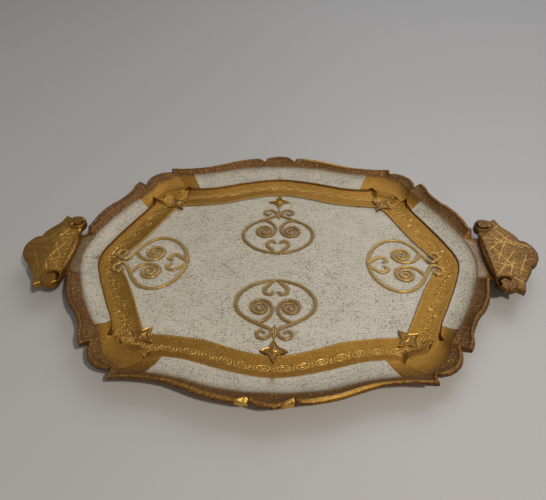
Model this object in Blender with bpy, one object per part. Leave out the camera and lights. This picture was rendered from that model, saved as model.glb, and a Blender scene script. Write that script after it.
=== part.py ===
"""Florentine gilt and cream serving tray.

Eight carved rails are mitred into a serpentine frame round a plywood panel, with a carved
handle at each end and raised gesso scrolls on the panel. Sizes are in millimetres and are
turned to metres as meshes are made. The tray stands on Z = 0, its length runs along X, and
one quarter of each outline is drawn (x and y positive) and mirrored into the other three.
"""

import math

import bmesh
import bpy
from mathutils import Matrix, Vector

MM = 0.001

# Driving dimensions. The foot's edges and the panel's edge are parts of the way across the
# band or the cove.
GAP = 0.3
PANEL_TOP = 7.0
PANEL_THICKNESS = 4.0
BAND_EDGE_TOP = 8.6
BAND_MIDDLE_TOP = 9.0
BAND_OUTER_TOP = 11.6
STEP_TOP = 14.0
STEP_LEAN = 1.0
COVE_SAG = 1.6
COVE_TOP = 21.4
FRONT_CREST = 27.4
CORNER_CREST = 25.0
LEDGE_TOP = 20.0
LEDGE_RISE = 0.4
LIP_DEPTH = 7.0
FOOT_BEVEL_TOP = 5.0
FOOT_INNER = 0.35
FOOT_OUTER = 0.3
PANEL_EDGE = 0.328
HANDLE_TOP = 29.6
HANDLE_RIM = 1.4
RELIEF = 1.9
DOWEL_RADIUS = 3.0
DOWEL_LENGTH = 10.0
DOWEL_AT = (246.0, 14.0)
TONGUE = (24.0, 14.0, 3.0)
TONGUE_CENTRE_Z = 3.4
PIN_RADIUS = 0.7
PIN_LENGTH = 14.0
PIN_BURIED = 8.0

# One quarter of the tray as stretches from the middle of the long side to the middle of the
# end. Each gives the number of sections along it, the height of the rim's crest at its end, and
# four outlines: the band's inner edge, the step, the top of the cove and the rim's outer edge.
STRETCHES = (
    ("centre_lobe", 3, FRONT_CREST,
     ((0, 131), (18, 129.7)),
     ((0, 160), (19, 158.3)),
     ((0, 182.5), (20, 182.3)),
     ((0, 200), (12, 197.8), (20.7, 194))),
    ("front_sweep", 10, CORNER_CREST,
     ((18, 129.7), (45, 122), (70, 113.5), (100, 109), (122, 107)),
     ((19, 158.3), (47, 152), (80, 142), (100, 138.5), (117, 138)),
     ((20, 182.3), (53, 178), (80, 170), (107, 164.5), (140, 161)),
     ((20.7, 194), (27, 194.8), (37, 194.3), (60, 188.8), (80, 181), (100, 174), (127, 170.5), (149.5, 171))),
    ("horn_end", 1, CORNER_CREST,
     ((122, 107), (125, 106.5)),
     ((117, 138), (123, 142.5)),
     ((140, 161), (144, 159)),
     ((149.5, 171), (148.5, 160))),
    ("corner_lobe", 8, CORNER_CREST,
     ((125, 106.5), (130.5, 105.5), (132.5, 101)),
     ((123, 142.5), (127, 135.5), (134, 133.5), (143, 131), (149.5, 124.5), (153.5, 117.5), (158, 114.5),
      (165, 115)),
     ((144, 159), (158, 149), (167, 134.5), (170, 124)),
     ((148.5, 160), (155, 161), (164.5, 158.5), (173, 151), (177, 141), (177.5, 131))),
    ("spike_end", 1, FRONT_CREST,
     ((132.5, 101), (135, 98)),
     ((165, 115), (164, 106)),
     ((170, 124), (173, 119)),
     ((177.5, 131), (186, 136))),
    ("end_sweep", 9, FRONT_CREST,
     ((135, 98), (142.5, 82), (152, 60), (163.5, 36), (168.5, 27)),
     ((164, 106), (166.5, 97), (170, 88), (179, 70), (192, 42), (197, 30)),
     ((173, 119), (181, 106), (188, 96), (201, 73), (210, 53), (217, 35)),
     ((186, 136), (190.5, 127), (193, 114), (202.5, 96), (211, 86), (218, 74), (223, 61), (226, 48),
      (228, 42))),
    ("rim_end", 1, LEDGE_TOP,
     ((168.5, 27), (169.5, 25.5)),
     ((197, 30), (198, 27)),
     ((217, 35), (218.5, 31)),
     ((228, 42), (230, 35))),
    ("ledge", 4, LEDGE_TOP,
     ((169.5, 25.5), (175, 16), (184, 0)),
     ((198, 27), (202.6, 15), (205, 0)),
     ((218.5, 31), (222, 18), (224, 0)),
     ((230, 35), (247, 30), (256, 16), (258, 0))),
)

# The rails' corner mitre is at this section of the corner lobe.
MITRE_STEP = 3

# The handle's outline in the same quarter, from the axis round to its inner edge.
HANDLE_LOBES = (
    ((290, 0), (289, 7), (286, 14), (282, 19), (276, 21.5)),
    ((276, 21.5), (275.5, 27), (270, 36), (263, 46), (258.5, 60)),
    ((258.5, 60), (251, 55)),
    ((251, 55), (246, 57.5), (238, 56.5), (232.8, 51), (232, 44), (235, 37)),
    ((235, 37), (232.5, 24), (231, 0)),
)
VOLUTE_CENTRE = (241.5, 47.5)
VOLUTE_RADIUS = 9.5

# A scroll group's ribbons, as half of a mirrored pair: u runs outwards along the group's
# axis from the level of its spirals, and w runs across it.
SCROLL_ARC = ((-40.5, -0.8), (-38.5, 12), (-32, 27), (-20, 38.5), (-7, 42.5), (6, 39), (15.5, 29.5), (24, 15),
              (29, 5.5), (32.5, 3.0), (38, 5), (42, 10), (40.5, 16.5), (35, 18), (32, 14), (34.5, 10.5))
SCROLL_LEAF = ((-40.5, 2.5), (-33, 8), (-27, 12.5), (-20.5, 11), (-18.5, 6), (-22, 3.2))
SPIRAL_CENTRE = (0.0, 16.0)
SPIRAL_TURNS = 2.45
SPIRAL_STEPS = 34
SPIRAL_START = math.radians(12)
SPIRAL_OUTER = 22.0
SPIRAL_MAIN = 13.2
SPIRAL_INNER = 1.4
SPIRAL_APPROACH = 6.6
STEM = ((24, 0), (32, 0), (38, 0), (40, 0), (43.5, 0))
UNION_STAGGER = 0.02
RIBBON_WIDTHS = {"arc": 3.6, "leaf": 3.8, "spiral": 3.4}
STEM_WIDTH = 5.0
# The outer curls of the end groups climb from the panel onto the frame's band.
SCROLL_LIFT = 2.3
CLIMB_FROM = 27.0
CLIMB_RUN = 5.0

STAR_POINTS = 4
STAR_EDGE = 0.8
STAR_CENTRE = (133.0, 110.5)
STAR_REACH, STAR_WAIST, STAR_HEIGHT = 14.5, 7.2, 2.6
STAR_TURN = math.radians(55)
FLEUR_FRONT_Y = -127.0
FLEUR_BACK_Y = 117.0
FLEUR_REACH, FLEUR_WAIST, FLEUR_HEIGHT = 14.0, 7.0, 2.4
END_GROUP_REACH = 145.0
FRONT_GROUP_REACH = 68.0
BACK_GROUP_REACH = 58.0


def clear_scene():
    for thing in list(bpy.data.objects):
        bpy.data.objects.remove(thing, do_unlink=True)


def finish_material(name, colour, roughness, metallic):
    material = bpy.data.materials.new(name)
    material.use_nodes = True
    shader = material.node_tree.nodes["Principled BSDF"]
    shader.inputs["Base Color"].default_value = (*colour, 1.0)
    shader.inputs["Roughness"].default_value = roughness
    shader.inputs["Metallic"].default_value = metallic
    return material


def node_from(name, mesh_data, material, smooth_angle=None):
    """An object named for its part, from a bmesh in millimetres."""
    bmesh.ops.scale(mesh_data, vec=(MM, MM, MM), verts=mesh_data.verts)
    bmesh.ops.recalc_face_normals(mesh_data, faces=mesh_data.faces)
    mesh = bpy.data.meshes.new(name)
    mesh_data.to_mesh(mesh)
    mesh_data.free()
    mesh.materials.append(material)
    if smooth_angle is not None:
        mesh.shade_smooth()
        mesh.set_sharp_from_angle(angle=math.radians(smooth_angle))
    thing = bpy.data.objects.new(name, mesh)
    bpy.context.collection.objects.link(thing)
    return thing


def as_cutter(thing):
    thing.hide_render = True
    thing.display_type = "WIRE"
    return thing


def combine(thing, other, operation="DIFFERENCE"):
    modifier = thing.modifiers.new(operation.title() + "_" + other.name, "BOOLEAN")
    modifier.operation = operation
    modifier.solver = "EXACT"
    modifier.object = other


def spline_point(points, position):
    """A point on the Catmull-Rom curve through the points, at a position counted in points."""
    last = len(points) - 1
    i = min(int(position), last - 1)
    t = position - i
    a, b = points[i], points[i + 1]
    before = points[i - 1] if i > 0 else 2 * a - b
    after = points[i + 2] if i + 2 <= last else 2 * b - a
    return 0.5 * (2 * a + (b - before) * t + (2 * before - 5 * a + 4 * b - after) * t ** 2
                  + (3 * a - before - 3 * b + after) * t ** 3)


def smooth_curve(points, steps):
    """steps + 1 evenly spaced points along the curve through the given ones."""
    points = [Vector(point) for point in points]
    fine = [spline_point(points, k * (len(points) - 1) / 400) for k in range(401)]
    lengths = [0.0]
    for a, b in zip(fine, fine[1:]):
        lengths.append(lengths[-1] + (b - a).length)
    found = []
    for k in range(steps + 1):
        target = lengths[-1] * k / steps
        i = next(n for n, length in enumerate(lengths) if length >= target - 1e-9)
        found.append(fine[i])
    return found


def quarter_sections():
    """Every section of one quarter: its four outline points, its crest, and its stretch."""
    sections = []
    start_crest = FRONT_CREST
    for name, steps, end_crest, *outlines in STRETCHES:
        columns = list(zip(*(smooth_curve(outline, steps) for outline in outlines)))
        for k, column in enumerate(columns):
            if k > 0 or not sections:
                crest = start_crest + (end_crest - start_crest) * k / steps
                sections.append((column, crest, name))
        start_crest = end_crest
    return sections


def profile(column, crest):
    """The closed outline of a rail's section, as points in space, from its lip round the top."""
    inner, step, cove, outer = column
    on_ledge = crest == LEDGE_TOP
    cove_top = LEDGE_TOP - LEDGE_RISE if on_ledge else COVE_TOP
    low = crest - LIP_DEPTH
    rise = crest - cove_top
    outward = (outer - inner).normalized()

    def place(a, b, part, height):
        spot = a.lerp(b, part)
        return Vector((spot.x, spot.y, height))

    step_top = step + outward * STEP_LEAN
    return [
        place(inner, step, 0.0, BAND_EDGE_TOP),
        place(inner, step, 0.5, BAND_MIDDLE_TOP),
        place(inner, step, 0.8, (BAND_MIDDLE_TOP + BAND_OUTER_TOP) / 2 - 0.4),
        place(inner, step, 1.0, BAND_OUTER_TOP),
        place(step_top, step, 0.0, STEP_TOP),
        place(step, cove, 0.5, (STEP_TOP + cove_top) / 2 - COVE_SAG),
        place(cove, outer, 0.0, cove_top),
        place(cove, outer, 0.3, cove_top + 0.68 * rise),
        place(cove, outer, 0.6, crest),
        place(cove, outer, 0.9, crest - 0.12 * LIP_DEPTH),
        place(cove, outer, 1.0, crest - 0.5 * LIP_DEPTH),
        place(cove, outer, 0.85, low),
        place(step, cove, FOOT_OUTER, FOOT_BEVEL_TOP),
        place(step, cove, FOOT_OUTER, 0.0),
        place(inner, step, FOOT_INNER, 0.0),
        place(inner, step, FOOT_INNER, PANEL_TOP + GAP),
        place(inner, step, 0.0, PANEL_TOP + GAP),
    ]


def square_end(ring, column, inwards):
    """The ring laid on the upright plane through its section line, half a gap inside the rail."""
    inner, outer = column[0], column[3]
    along = (outer - inner).normalized()
    normal = Vector((-along.y, along.x))
    if normal.dot(inwards) < 0:
        normal.negate()
    squared = []
    for point in ring:
        flat = point.xy - inner
        off_plane = flat.dot(normal) - GAP / 2
        spot = point.xy - normal * off_plane
        squared.append(Vector((spot.x, spot.y, point.z)))
    return squared


def rail_mesh(sections, side_x, side_y):
    """One rail, lofted through its sections and mirrored into its own quarter."""
    rings = [profile(column, crest) for column, crest, _ in sections]
    first, last = sections[0][0], sections[-1][0]
    rings[0] = square_end(rings[0], first, sections[1][0][1] - first[1])
    rings[-1] = square_end(rings[-1], last, sections[-2][0][1] - last[1])
    shape = bmesh.new()
    loops = [[shape.verts.new((p.x * side_x, p.y * side_y, p.z)) for p in ring] for ring in rings]
    for a, b in zip(loops, loops[1:]):
        for i in range(len(a)):
            j = (i + 1) % len(a)
            shape.faces.new((a[i], a[j], b[j], b[i]))
    shape.faces.new(loops[0])
    shape.faces.new(reversed(loops[-1]))
    return shape


def box_mesh(size, centre, turn=0.0):
    shape = bmesh.new()
    bmesh.ops.create_cube(shape, size=1.0)
    bmesh.ops.scale(shape, vec=size, verts=shape.verts)
    bmesh.ops.rotate(shape, matrix=Matrix.Rotation(turn, 3, "Z"), verts=shape.verts)
    bmesh.ops.translate(shape, vec=centre, verts=shape.verts)
    return shape


def rod_mesh(radius, length, start, direction, sides=16):
    """A round rod from its start along a direction, closed at both ends."""
    shape = bmesh.new()
    bmesh.ops.create_cone(shape, cap_ends=True, segments=sides, radius1=radius, radius2=radius, depth=length)
    turn = Vector((0, 0, 1)).rotation_difference(direction).to_matrix()
    bmesh.ops.rotate(shape, matrix=turn, verts=shape.verts)
    bmesh.ops.translate(shape, vec=start + direction * length / 2, verts=shape.verts)
    return shape


def make_panel(sections, wood):
    """The plywood panel, resting in the rebate under the rails' lips."""
    quarter = [column[0].lerp(column[1], PANEL_EDGE) for column, _, _ in sections]
    outline = [(p.x, p.y) for p in quarter]
    outline += [(p.x, -p.y) for p in reversed(quarter[:-1])]
    outline += [(-p.x, -p.y) for p in quarter[1:]]
    outline += [(-p.x, p.y) for p in reversed(quarter[1:-1])]
    shape = bmesh.new()
    corners = [shape.verts.new((x, y, PANEL_TOP - PANEL_THICKNESS)) for x, y in outline]
    face = shape.faces.new(corners)
    raised = bmesh.ops.extrude_face_region(shape, geom=[face])["geom"]
    moved = [item for item in raised if isinstance(item, bmesh.types.BMVert)]
    bmesh.ops.translate(shape, vec=(0, 0, PANEL_THICKNESS), verts=moved)
    return node_from("floor_panel", shape, wood)


def make_tongue(name, column, side_x, side_y, wood):
    """A loose tongue across a joint, and the cutter for its slots."""
    foot_inner = column[0].lerp(column[1], FOOT_INNER)
    foot_outer = column[1].lerp(column[2], FOOT_OUTER)
    middle = (foot_inner + foot_outer) / 2
    across = foot_outer - foot_inner
    centre = (middle.x * side_x, middle.y * side_y, TONGUE_CENTRE_Z)
    turn = math.atan2(across.y * side_y, across.x * side_x) - math.pi / 2
    node_from(name, box_mesh(TONGUE, centre, turn), wood)
    slot = tuple(side + 2 * GAP for side in TONGUE)
    return as_cutter(node_from(name + "_slot", box_mesh(slot, centre, turn), wood))


def make_pin(name, column, side_x, side_y, steel, wood):
    """A panel pin driven sideways into the rebate, its shank holding the panel up."""
    wall = column[0].lerp(column[1], FOOT_INNER)
    outward = (column[1] - column[0]).normalized()
    direction = Vector((outward.x * side_x, outward.y * side_y, 0))
    height = PANEL_TOP - PANEL_THICKNESS - GAP - PIN_RADIUS
    mouth = Vector((wall.x * side_x, wall.y * side_y, height))
    start = mouth - direction * (PIN_LENGTH - PIN_BURIED)
    node_from(name, rod_mesh(PIN_RADIUS, PIN_LENGTH, start, direction, sides=8), steel, 40)
    hole = rod_mesh(PIN_RADIUS + GAP, PIN_LENGTH + GAP, start, direction, sides=8)
    return as_cutter(node_from(name + "_hole", hole, wood))


def make_handle(name, side_x, gilt):
    """A carved lug: a thick plate with a scalloped edge, a dished top and a volute at each root."""
    quarter = []
    for lobe, points in enumerate(HANDLE_LOBES):
        steps = 1 if len(points) == 2 else 2 * (len(points) - 1)
        quarter += smooth_curve(points, steps)[1 if lobe else 0:]
    outline = [(p.x, p.y) for p in quarter] + [(p.x, -p.y) for p in reversed(quarter[1:-1])]
    shape = bmesh.new()
    base = [shape.verts.new((x * side_x, y, LEDGE_TOP + GAP)) for x, y in outline]
    face = shape.faces.new(base)
    raised = bmesh.ops.extrude_face_region(shape, geom=[face])["geom"]
    top = [item for item in raised if isinstance(item, bmesh.types.BMFace)][0]
    bmesh.ops.translate(shape, vec=(0, 0, HANDLE_TOP - HANDLE_RIM - LEDGE_TOP - GAP), verts=top.verts)
    handle = node_from(name, shape, gilt, 35)
    for end, side_y in (("back", 1), ("front", -1)):
        centre = Vector((VOLUTE_CENTRE[0] * side_x, VOLUTE_CENTRE[1] * side_y, LEDGE_TOP + GAP + 1))
        height = HANDLE_TOP - centre.z
        volute = rod_mesh(VOLUTE_RADIUS, height, centre, Vector((0, 0, 1)), sides=24)
        combine(handle, as_cutter(node_from(f"{name}_volute_{end}", volute, gilt)), "UNION")
    return handle


def make_dowel(name, side_x, side_y, wood):
    """An upright dowel from a rail's ledge into the handle, and the cutter for its holes."""
    foot = Vector((DOWEL_AT[0] * side_x, DOWEL_AT[1] * side_y, LEDGE_TOP - DOWEL_LENGTH / 2))
    up = Vector((0, 0, 1))
    node_from(name, rod_mesh(DOWEL_RADIUS, DOWEL_LENGTH, foot, up), wood, 40)
    hole = rod_mesh(DOWEL_RADIUS + GAP, DOWEL_LENGTH + 2 * GAP, foot - up * GAP, up)
    return as_cutter(node_from(name + "_hole", hole, wood))


def ribbon_mesh(path, width, height, base):
    """A half-round raised line along a path, thinner at both ends. Each point carries its lift."""
    shape = bmesh.new()
    loops = []
    last = len(path) - 1
    for i, spot in enumerate(path):
        ahead, behind = path[min(i + 1, last)], path[max(i - 1, 0)]
        across = Vector((behind.y - ahead.y, ahead.x - behind.x, 0)).normalized()
        taper = min(1.0, 0.45 + 0.2 * min(i, last - i))
        half = width / 2 * taper
        ring = []
        for side, rise in ((-1, 0), (-0.72, 0.7), (0, 1), (0.72, 0.7), (1, 0)):
            p = spot + across * half * side
            ring.append(shape.verts.new((p.x, p.y, base + p.z + rise * height * (0.6 + 0.4 * taper))))
        loops.append(ring)
    for a, b in zip(loops, loops[1:]):
        for i in range(len(a)):
            j = (i + 1) % len(a)
            shape.faces.new((a[i], a[j], b[j], b[i]))
    shape.faces.new(loops[0])
    shape.faces.new(reversed(loops[-1]))
    return shape


def star_mesh(centre, reach, waist, turn, base, height):
    """A four-pointed star with hollow sides, raised to a point in the middle."""
    shape = bmesh.new()
    rim = []
    for k in range(2 * STAR_POINTS):
        radius = waist if k % 2 else reach
        angle = turn + math.pi * k / STAR_POINTS
        rim.append((centre[0] + radius * math.cos(angle), centre[1] + radius * math.sin(angle)))
    bottom = [shape.verts.new((x, y, base)) for x, y in rim]
    top = [shape.verts.new((x, y, base + STAR_EDGE)) for x, y in rim]
    peak = shape.verts.new((centre[0], centre[1], base + height))
    shape.faces.new(reversed(bottom))
    for k in range(len(rim)):
        j = (k + 1) % len(rim)
        shape.faces.new((bottom[k], bottom[j], top[j], top[k]))
        shape.faces.new((top[k], top[j], peak))
    return shape


def spiral_path():
    """The spiral of a scroll, from where it leaves the arc in to its eye."""
    points = []
    for k in range(SPIRAL_STEPS + 1):
        part = k / SPIRAL_STEPS
        angle = SPIRAL_START - 2 * math.pi * SPIRAL_TURNS * part
        radius = SPIRAL_INNER + (SPIRAL_MAIN - SPIRAL_INNER) * (1 - part)
        radius += (SPIRAL_OUTER - SPIRAL_MAIN) * max(0.0, 1 - part * SPIRAL_APPROACH) ** 2
        points.append(Vector((SPIRAL_CENTRE[0] + radius * math.cos(angle),
                              SPIRAL_CENTRE[1] + radius * math.sin(angle))))
    return points


def make_scroll_group(name, reach, turn, gilt, with_fleur):
    """A mirrored pair of scrolls joined at the group's axis, turned about the tray's centre."""
    def placed(path, side):
        spin = Matrix.Rotation(turn, 3, "Z")
        lift = 0.0 if with_fleur else SCROLL_LIFT
        climb = [min(1.0, max(0.0, (p.x - CLIMB_FROM) / CLIMB_RUN)) for p in path]
        return [spin @ Vector((p.x + reach, p.y * side, lift * up)) for p, up in zip(path, climb)]

    base = PANEL_TOP + GAP
    arc, leaf, spiral = smooth_curve(SCROLL_ARC, 34), smooth_curve(SCROLL_LEAF, 10), spiral_path()
    group = None
    stagger = 0.0
    for side_name, side in (("a", 1), ("b", -1)):
        for kind, path in (("arc", arc), ("leaf", leaf), ("spiral", spiral)):
            mesh = ribbon_mesh(placed(path, side), RIBBON_WIDTHS[kind], RELIEF, base + stagger)
            stagger += UNION_STAGGER
            if group is None:
                group = node_from(name, mesh, gilt, 50)
                continue
            helper = node_from(f"{name}_{kind}_{side_name}", mesh, gilt)
            combine(group, as_cutter(helper), "UNION")
    if with_fleur:
        stem = ribbon_mesh(placed(smooth_curve(STEM, 8), 1), STEM_WIDTH, RELIEF, base + stagger)
        combine(group, as_cutter(node_from(name + "_stem", stem, gilt)), "UNION")
    return group


def build():
    gilt = finish_material("gilt_gesso", (0.42, 0.25, 0.07), 0.38, 0.85)
    frame_wood = finish_material("painted_rail", (0.45, 0.30, 0.12), 0.45, 0.3)
    panel_paint = finish_material("cream_panel", (0.50, 0.46, 0.37), 0.6, 0.0)
    bare_wood = finish_material("beech", (0.55, 0.38, 0.22), 0.6, 0.0)
    steel = finish_material("pin_steel", (0.45, 0.45, 0.46), 0.35, 1.0)

    sections = quarter_sections()
    names = [name for _, _, name in sections]
    corner = names.index("corner_lobe") + MITRE_STEP
    long_sections, end_sections = sections[:corner + 1], sections[corner:]
    make_panel(sections, panel_paint)

    ends = (("left", -1), ("right", 1))
    sides = (("front", -1), ("back", 1))
    rails = {}
    for end, side_x in ends:
        for side, side_y in sides:
            long_rail = rail_mesh(long_sections, side_x, side_y)
            end_rail = rail_mesh(end_sections, side_x, side_y)
            rails[side, end, "long"] = node_from(f"rail_{side}_{end}", long_rail, frame_wood, 35)
            rails[side, end, "end"] = node_from(f"rail_{end}_{side}", end_rail, frame_wood, 35)

    for side, side_y in sides:
        slot = make_tongue(f"tongue_{side}", sections[0][0], 1, side_y, bare_wood)
        for end, _ in ends:
            combine(rails[side, end, "long"], slot)
    for end, side_x in ends:
        slot = make_tongue(f"tongue_{end}", sections[-1][0], side_x, 1, bare_wood)
        handle = make_handle(f"handle_{end}", side_x, gilt)
        for side, side_y in sides:
            combine(rails[side, end, "end"], slot)
            hole = make_dowel(f"dowel_{end}_{side}", side_x, side_y, bare_wood)
            combine(rails[side, end, "end"], hole)
            combine(handle, hole)
    for end, side_x in ends:
        for side, side_y in sides:
            slot = make_tongue(f"tongue_{side}_{end}", sections[corner][0], side_x, side_y, bare_wood)
            combine(rails[side, end, "long"], slot)
            combine(rails[side, end, "end"], slot)
            for kind, run in (("long", long_sections), ("end", end_sections)):
                column = run[len(run) // 2][0]
                hole = make_pin(f"pin_{side}_{end}_{kind}", column, side_x, side_y, steel, bare_wood)
                combine(rails[side, end, kind], hole)

    make_scroll_group("scroll_right", END_GROUP_REACH, 0.0, gilt, False)
    make_scroll_group("scroll_back", BACK_GROUP_REACH, math.pi / 2, gilt, True)
    make_scroll_group("scroll_left", END_GROUP_REACH, math.pi, gilt, False)
    make_scroll_group("scroll_front", FRONT_GROUP_REACH, -math.pi / 2, gilt, True)

    # The front fleur lies across the band's inner edge, and the back one on the panel.
    star_base = BAND_MIDDLE_TOP + 4 * GAP
    fleurs = {"front": (FLEUR_FRONT_Y, star_base), "back": (FLEUR_BACK_Y, PANEL_TOP + GAP)}
    for side, side_y in sides:
        fleur_y, base = fleurs[side]
        fleur = star_mesh((0, fleur_y), FLEUR_REACH, FLEUR_WAIST, math.pi / 2, base, FLEUR_HEIGHT)
        node_from(f"fleur_{side}", fleur, gilt)
        for end, side_x in ends:
            centre = (STAR_CENTRE[0] * side_x, STAR_CENTRE[1] * side_y)
            turn = STAR_TURN * side_x * side_y
            star = star_mesh(centre, STAR_REACH, STAR_WAIST, turn, star_base, STAR_HEIGHT)
            node_from(f"star_{side}_{end}", star, gilt)


clear_scene()
build()
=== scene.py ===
"""The looks of a Florentine gilt and cream serving tray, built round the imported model."""

import math

import bpy
import numpy as np
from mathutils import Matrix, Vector, kdtree


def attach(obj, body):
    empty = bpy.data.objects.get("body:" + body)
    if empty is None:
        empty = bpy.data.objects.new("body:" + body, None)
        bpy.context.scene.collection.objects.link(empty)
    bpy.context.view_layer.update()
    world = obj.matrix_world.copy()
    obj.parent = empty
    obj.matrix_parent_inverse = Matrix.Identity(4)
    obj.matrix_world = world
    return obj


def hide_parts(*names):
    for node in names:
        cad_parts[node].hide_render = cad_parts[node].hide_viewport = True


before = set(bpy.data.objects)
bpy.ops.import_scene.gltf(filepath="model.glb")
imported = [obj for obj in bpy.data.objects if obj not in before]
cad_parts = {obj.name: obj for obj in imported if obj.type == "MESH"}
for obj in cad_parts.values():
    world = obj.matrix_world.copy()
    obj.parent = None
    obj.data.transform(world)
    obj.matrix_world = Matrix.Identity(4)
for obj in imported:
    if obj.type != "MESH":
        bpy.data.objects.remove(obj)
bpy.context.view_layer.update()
MM = 0.001

# --- The setting -------------------------------------------------------------------------------
# A plain pale table top, a small soft key light from the front right, a broad fill from above and
# behind, and the camera in front of the tray, looking down at it.

ELEVATION = math.radians(41.83)
AZIMUTH = math.radians(2.514)
ROLL = math.radians(-1.07)
AIM = Vector((-0.00524, 0.02341, 0.007))
DISTANCE = 0.6316


def linear(colour):
    """An sRGB hex colour as linear values."""
    channels = [int(colour[i:i + 2], 16) / 255 for i in (1, 3, 5)]
    return tuple(c / 12.92 if c <= 0.04045 else ((c + 0.055) / 1.055) ** 2.4 for c in channels) + (1.0,)


def put(tree, kind, inputs=None, **settings):
    """Adds a node. Each input is a value, or another node's output to link from."""
    node = tree.nodes.new("ShaderNode" + kind)
    for name, value in settings.items():
        setattr(node, name, value)
    for socket, value in (inputs or {}).items():
        if isinstance(value, bpy.types.NodeSocket):
            tree.links.new(value, node.inputs[socket])
        else:
            node.inputs[socket].default_value = value
    return node


camera = bpy.data.objects.new("camera", bpy.data.cameras.new("camera"))
bpy.context.scene.collection.objects.link(camera)
camera.data.lens = 35.05
camera.data.sensor_width = 36.0
camera.data.clip_start = 0.01
flat = math.cos(ELEVATION) * DISTANCE
over_table = math.sin(ELEVATION) * DISTANCE
camera.location = AIM + Vector((flat * math.sin(AZIMUTH), -flat * math.cos(AZIMUTH), over_table))
camera.rotation_mode = "QUATERNION"
camera.rotation_quaternion = (AIM - camera.location).to_track_quat("-Z", "Y")
rolled = Vector((math.cos(ROLL), math.sin(ROLL), 0))
camera.rotation_quaternion @= Vector((1, 0, 0)).rotation_difference(rolled)
bpy.context.scene.camera = camera


def area_light(name, place, aim, size, power, colour):
    lamp = bpy.data.lights.new(name, "AREA")
    lamp.size = size
    lamp.energy = power
    lamp.color = linear(colour)[:3]
    thing = bpy.data.objects.new(name, lamp)
    bpy.context.scene.collection.objects.link(thing)
    thing.location = place
    thing.rotation_euler = (Vector(aim) - Vector(place)).to_track_quat("-Z", "Y").to_euler()
    return thing


area_light("key", (0.56, -0.88, 1.25), (0.0, 0.0, 0.0), 0.09, 12.5, "#FFF7EA")
area_light("fill", (0.55, 1.05, 1.30), (0.15, 0.15, 0.0), 1.2, 8.6, "#EEF2FF")

world = bpy.data.worlds.new("room")
bpy.context.scene.world = world
world.use_nodes = True
world.node_tree.nodes.clear()
spot = put(world.node_tree, "TexCoord")
height = put(world.node_tree, "SeparateXYZ", {0: spot.outputs["Generated"]})
shade = put(world.node_tree, "MapRange", {0: height.outputs[2], 1: -0.2, 2: 0.9, 3: 0.08, 4: 0.30})
sky = put(world.node_tree, "Background", {0: shade.outputs[0], 1: 1.0})
put(world.node_tree, "OutputWorld", {0: sky.outputs[0]})
bpy.context.scene.view_settings.view_transform = "Standard"

bpy.ops.object.select_all(action="DESELECT")
bpy.ops.mesh.primitive_plane_add(size=6.0, location=(0, 0, -0.0002))
table = bpy.context.object
table.name = "table_top"
laminate = bpy.data.materials.new("pale_laminate")
laminate.use_nodes = True
surface = laminate.node_tree.nodes["Principled BSDF"]
surface.inputs["Base Color"].default_value = linear("#B9B7B4")
surface.inputs["Roughness"].default_value = 0.45
table.data.materials.append(laminate)

# --- Floor panel -------------------------------------------------------------------------------
# Thin plywood under gesso and cream paint, rubbed back and flicked with dark glaze. Its edge lies
# in the rebate under the frame's band, and its underside is bare wood.

PANEL_TOP = 7.0
PANEL_THICKNESS = 4.0
PANEL_EDGE = 0.328
HALO_START = 1.2
HALO_WIDTH = 3.4
STEP_MM = 0.75

FRONT_CREST = 27.4
CORNER_CREST = 25.0
LEDGE_TOP = 20.0

# One quarter of the tray, from the middle of the long side to the middle of the end. Each stretch
# gives the crest's height at its end, and four outlines: the band's inner edge, the step, the top
# of the cove and the rim's outer edge.
STRETCHES = (
    ("centre_lobe", FRONT_CREST,
     ((0, 131), (18, 129.7)),
     ((0, 160), (19, 158.3)),
     ((0, 182.5), (20, 182.3)),
     ((0, 200), (12, 197.8), (20.7, 194))),
    ("front_sweep", CORNER_CREST,
     ((18, 129.7), (45, 122), (70, 113.5), (100, 109), (122, 107)),
     ((19, 158.3), (47, 152), (80, 142), (100, 138.5), (117, 138)),
     ((20, 182.3), (53, 178), (80, 170), (107, 164.5), (140, 161)),
     ((20.7, 194), (27, 194.8), (37, 194.3), (60, 188.8), (80, 181), (100, 174), (127, 170.5), (149.5, 171))),
    ("horn_end", CORNER_CREST,
     ((122, 107), (125, 106.5)),
     ((117, 138), (123, 142.5)),
     ((140, 161), (144, 159)),
     ((149.5, 171), (148.5, 160))),
    ("corner_lobe", CORNER_CREST,
     ((125, 106.5), (130.5, 105.5), (132.5, 101)),
     ((123, 142.5), (127, 135.5), (134, 133.5), (143, 131), (149.5, 124.5), (153.5, 117.5), (158, 114.5),
      (165, 115)),
     ((144, 159), (158, 149), (167, 134.5), (170, 124)),
     ((148.5, 160), (155, 161), (164.5, 158.5), (173, 151), (177, 141), (177.5, 131))),
    ("spike_end", FRONT_CREST,
     ((132.5, 101), (135, 98)),
     ((165, 115), (164, 106)),
     ((170, 124), (173, 119)),
     ((177.5, 131), (186, 136))),
    ("end_sweep", FRONT_CREST,
     ((135, 98), (142.5, 82), (152, 60), (163.5, 36), (168.5, 27)),
     ((164, 106), (166.5, 97), (170, 88), (179, 70), (192, 42), (197, 30)),
     ((173, 119), (181, 106), (188, 96), (201, 73), (210, 53), (217, 35)),
     ((186, 136), (190.5, 127), (193, 114), (202.5, 96), (211, 86), (218, 74), (223, 61), (226, 48),
      (228, 42))),
    ("rim_end", LEDGE_TOP,
     ((168.5, 27), (169.5, 25.5)),
     ((197, 30), (198, 27)),
     ((217, 35), (218.5, 31)),
     ((228, 42), (230, 35))),
    ("ledge", LEDGE_TOP,
     ((169.5, 25.5), (175, 16), (184, 0)),
     ((198, 27), (202.6, 15), (205, 0)),
     ((218.5, 31), (222, 18), (224, 0)),
     ((230, 35), (247, 30), (256, 16), (258, 0))),
)


def turns_sharply(before, here, after):
    a, b = here - before, after - here
    return a @ b < 0.5 * np.linalg.norm(a) * np.linalg.norm(b)


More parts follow.
